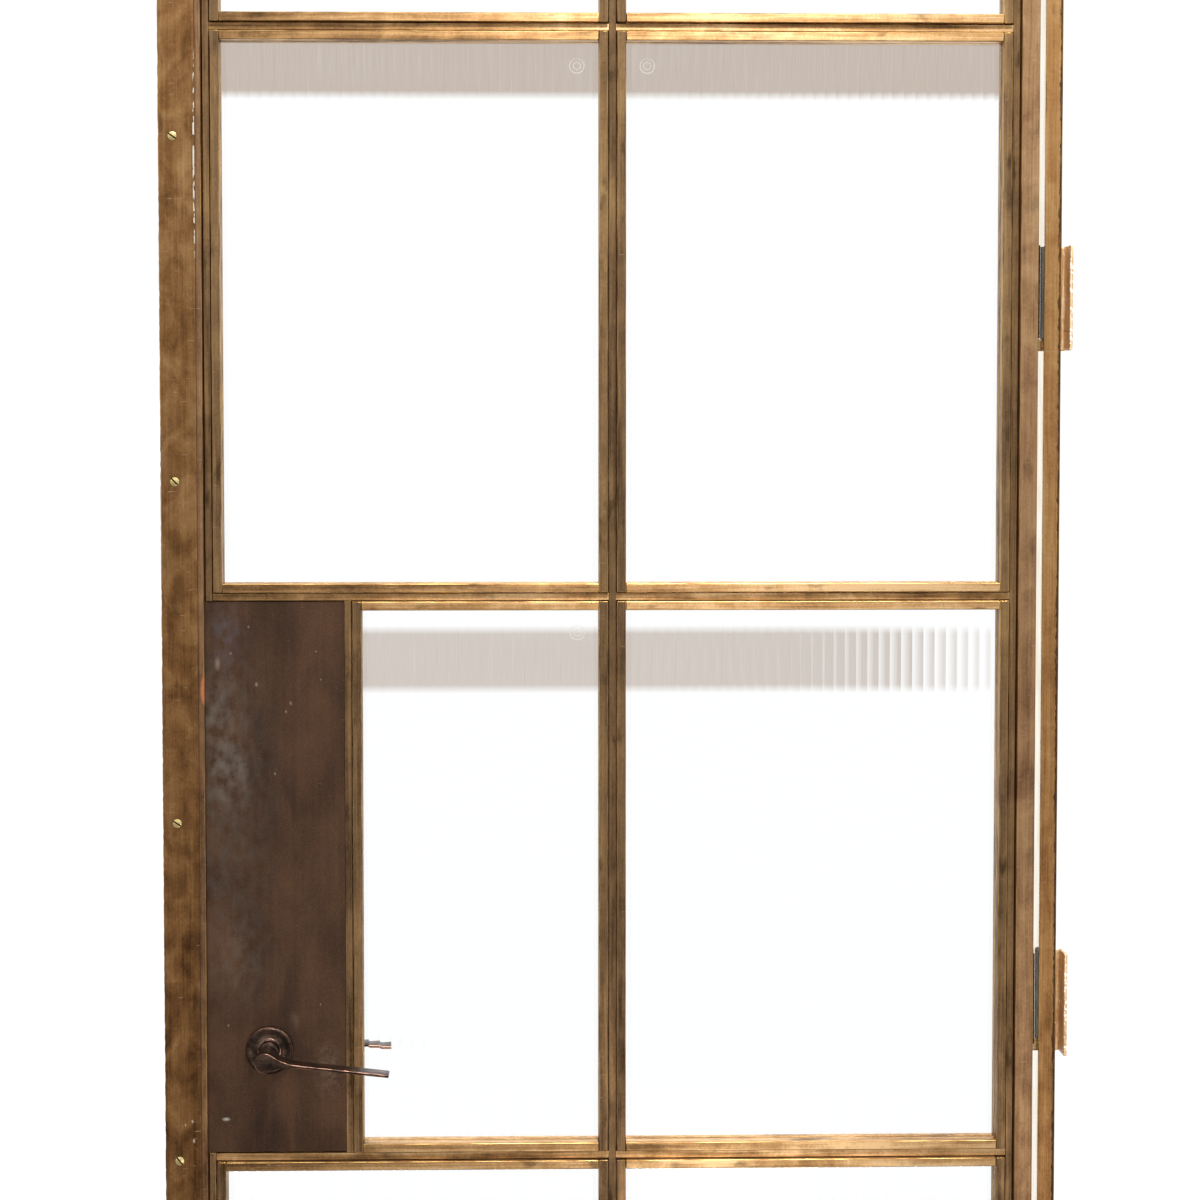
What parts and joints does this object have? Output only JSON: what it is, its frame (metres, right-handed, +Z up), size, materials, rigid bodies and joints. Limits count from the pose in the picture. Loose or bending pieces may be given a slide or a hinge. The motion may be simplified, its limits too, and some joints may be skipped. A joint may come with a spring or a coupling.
{
  "type": "brass framed glass door",
  "caption": "Tall hinged door leaf of brass glazing bars with fluted glass panes, a lock plate and lever handles, hung in a slim brass frame with a screwed cover strip.",
  "frame": {"origin": "middle height and depth of the hinge jamb's flat face against the wall, where the frame is held", "axes": "+Z up; the door is seen from the front looking along +Y, with the hinges on the +X side; the leaf opens towards +Y"},
  "size_m": [0.962, 0.176, 2.734],
  "materials": {
    "aged_brass": "aged brown patina, brushed and rubbed on edges",
    "bright_brass": "polished",
    "raw_brass": "raw, with traces of plaster",
    "brown_bronze": "dark brown patina, scratched",
    "dark_bronze": "oil-rubbed, with copper showing on worn edges",
    "fluted_glass": "clear, with upright reeds"
  },
  "bodies": {
    "frame": {"hinge_jamb": "aged_brass", "lock_jamb": "aged_brass", "head": "aged_brass", "cover_strip": "aged_brass", "strip_screw_1": "bright_brass", "strip_screw_2": "bright_brass", "strip_screw_3": "bright_brass", "strip_screw_4": "bright_brass", "strip_screw_5": "bright_brass", "strip_screw_6": "bright_brass", "strip_screw_7": "bright_brass", "strip_screw_8": "bright_brass", "hinge_lug_1": "raw_brass", "hinge_lug_2": "raw_brass", "hinge_lug_3": "raw_brass", "hinge_lug_4": "raw_brass"},
    "leaf": {"lock_stile": "aged_brass", "hinge_stile": "aged_brass", "bottom_rail": "aged_brass", "top_rail": "aged_brass", "kick_bar": "aged_brass", "middle_bar": "aged_brass", "cross_bar_left_1": "aged_brass", "cross_bar_right_1": "aged_brass", "cross_bar_left_2": "aged_brass", "cross_bar_right_2": "aged_brass", "cross_bar_left_3": "aged_brass", "cross_bar_right_3": "aged_brass", "lock_bar": "aged_brass", "glass_left_0": "fluted_glass", "glass_right_0": "fluted_glass", "glass_left_1": "fluted_glass", "glass_right_1": "fluted_glass", "glass_left_2": "fluted_glass", "glass_right_2": "fluted_glass", "glass_left_3": "fluted_glass", "glass_right_3": "fluted_glass", "bead_kick": "aged_brass", "bead_left_0": "aged_brass", "bead_right_0": "aged_brass", "bead_left_1": "aged_brass", "bead_right_1": "aged_brass", "bead_left_2": "aged_brass", "bead_right_2": "aged_brass", "bead_left_3": "aged_brass", "bead_right_3": "aged_brass", "kick_panel": "aged_brass", "lock_case": "brown_bronze", "rose_front": "dark_bronze", "rose_back": "dark_bronze", "hinge_leaf_1": "dark_bronze", "hinge_leaf_2": "dark_bronze", "hinge_leaf_3": "dark_bronze", "hinge_leaf_4": "dark_bronze"},
    "lever": {"lever_front": "dark_bronze", "lever_back": "dark_bronze"}
  },
  "joints": [
    {"name": "leaf_swing", "type": "hinge", "parent": "frame", "child": "leaf", "pos_m": [-0.028, 0.025, 0], "axis": [0, 0, -1], "range_deg": [0, 110]},
    {"name": "lever_turn", "type": "hinge", "parent": "leaf", "child": "lever", "pos_m": [-0.84, -0.01, -0.36102], "axis": [0, 1, 0], "range_deg": [0, 40], "stiffness_Nm_per_rad": 2, "springref_deg": -28.65}
  ]
}
